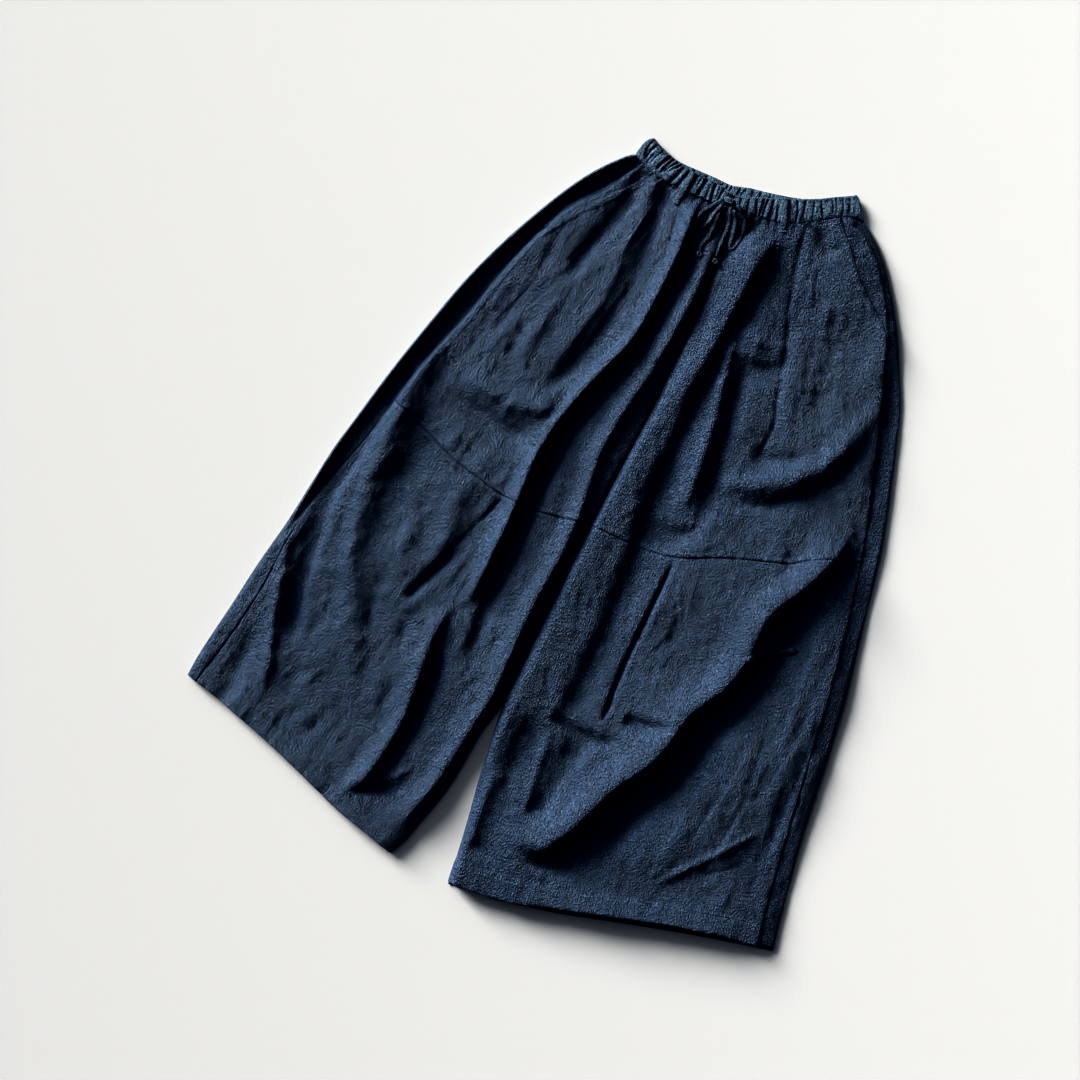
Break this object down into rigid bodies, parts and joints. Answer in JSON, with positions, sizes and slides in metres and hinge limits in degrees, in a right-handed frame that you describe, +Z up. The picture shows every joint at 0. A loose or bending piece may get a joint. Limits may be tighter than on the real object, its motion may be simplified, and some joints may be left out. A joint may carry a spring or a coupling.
{
  "type": "hakama trousers",
  "caption": "Wide hakama-style trousers with a gathered elastic waistband, drawstring bow, slant pockets and tucked knee seams, laid flat with the front up.",
  "frame": {"origin": "centre of the laid garment's bounding box on the surface it lies on", "axes": "+Y towards the waist, +X towards the wearer's left leg, +Z up out of the surface through the front of the garment"},
  "size_m": [0.8255, 1.019, 0.0329],
  "materials": {
    "linen": "navy crinkled linen, matte",
    "band_linen": "navy linen over elastic, matte",
    "tie_linen": "narrow navy linen tape, matte"
  },
  "bodies": {
    "root": {"back_left": "linen", "back_right": "linen", "front_upper_left": "linen", "front_upper_right": "linen", "front_lower_left": "linen", "front_lower_right": "linen", "pocket_bearer_left": "linen", "pocket_bearer_right": "linen", "waistband_back": "band_linen", "waistband_front": "band_linen", "belt_loop_left": "band_linen", "belt_loop_right": "band_linen", "tie_end_left": "tie_linen", "tie_end_right": "tie_linen", "tie_loop_left": "tie_linen", "tie_loop_right": "tie_linen", "tie_knot": "tie_linen"}
  },
  "joints": []
}
